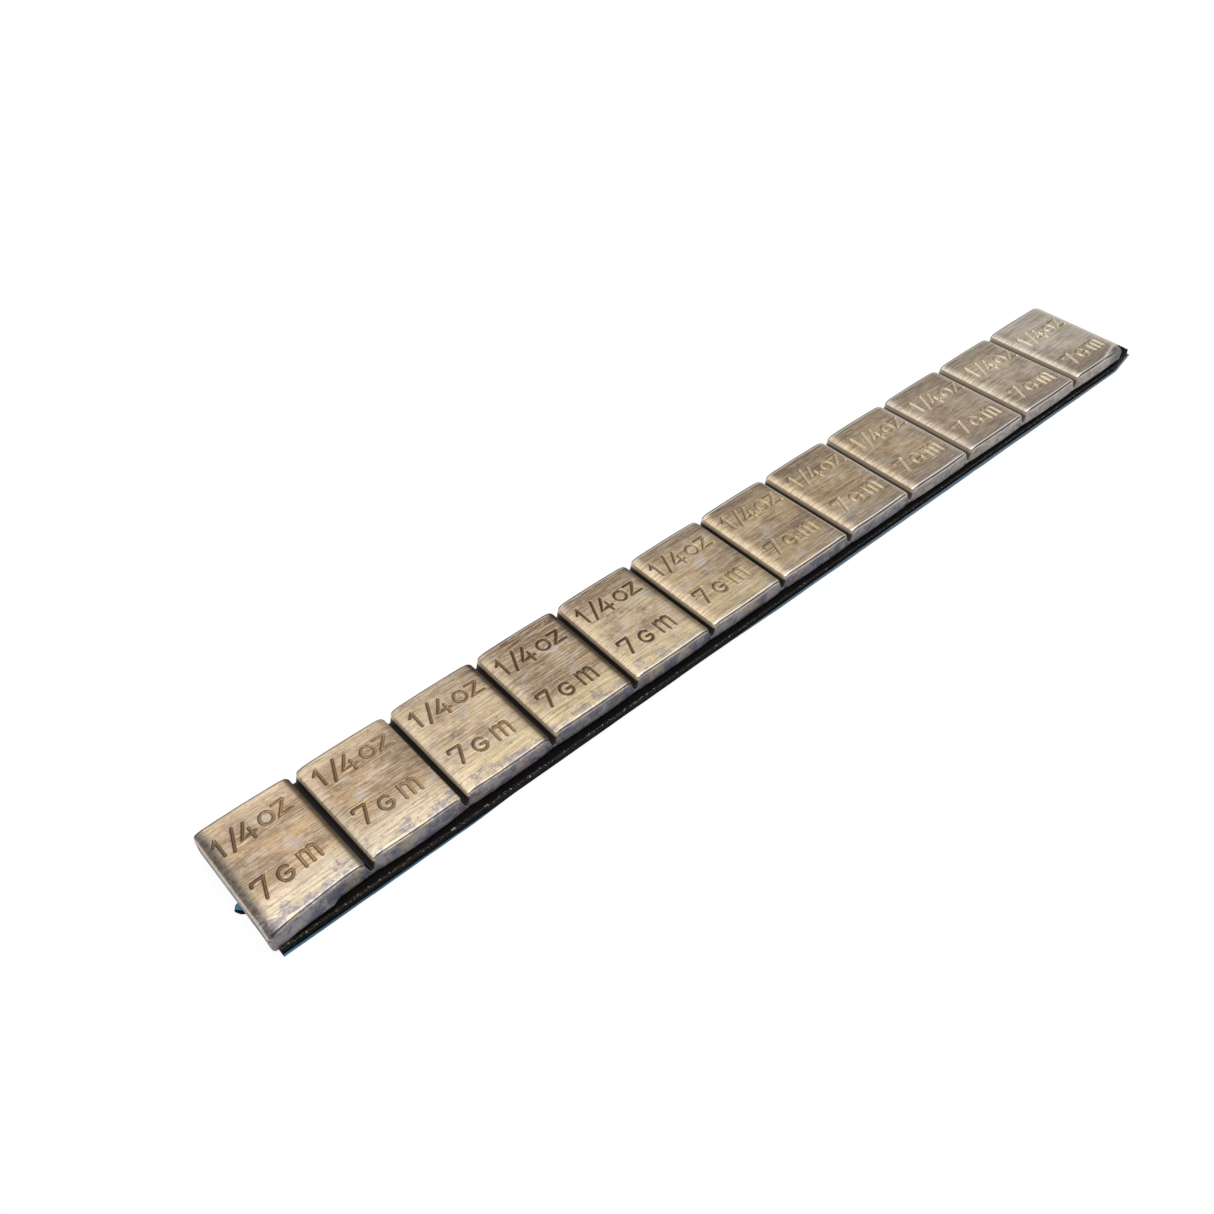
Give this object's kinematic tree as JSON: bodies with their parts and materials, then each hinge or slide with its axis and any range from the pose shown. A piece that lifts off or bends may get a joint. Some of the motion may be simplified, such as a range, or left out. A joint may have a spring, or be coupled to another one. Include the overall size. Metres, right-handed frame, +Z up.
{
  "type": "wheel balance weight",
  "caption": "Stick-on wheel balance weight: a flat lead strip scored into break-off segments, on black foam tape with a blue release liner.",
  "frame": {"origin": "middle of the stick-on face, on the liner's underside, below the middle of the lead strip", "axes": "+X along the strip to its far end, -Y towards the side where the tape shows past the lead, +Z up out of the stamped face"},
  "size_m": [0.1677, 0.0188, 0.0039],
  "materials": {
    "lead": "brushed and tarnished, brown and grey",
    "foam": "black closed-cell foam, cut edges rough",
    "liner": "thin blue film, half gloss"
  },
  "bodies": {
    "root": {"weight_strip": "lead", "foam_tape": "foam", "release_liner": "liner"}
  },
  "joints": []
}
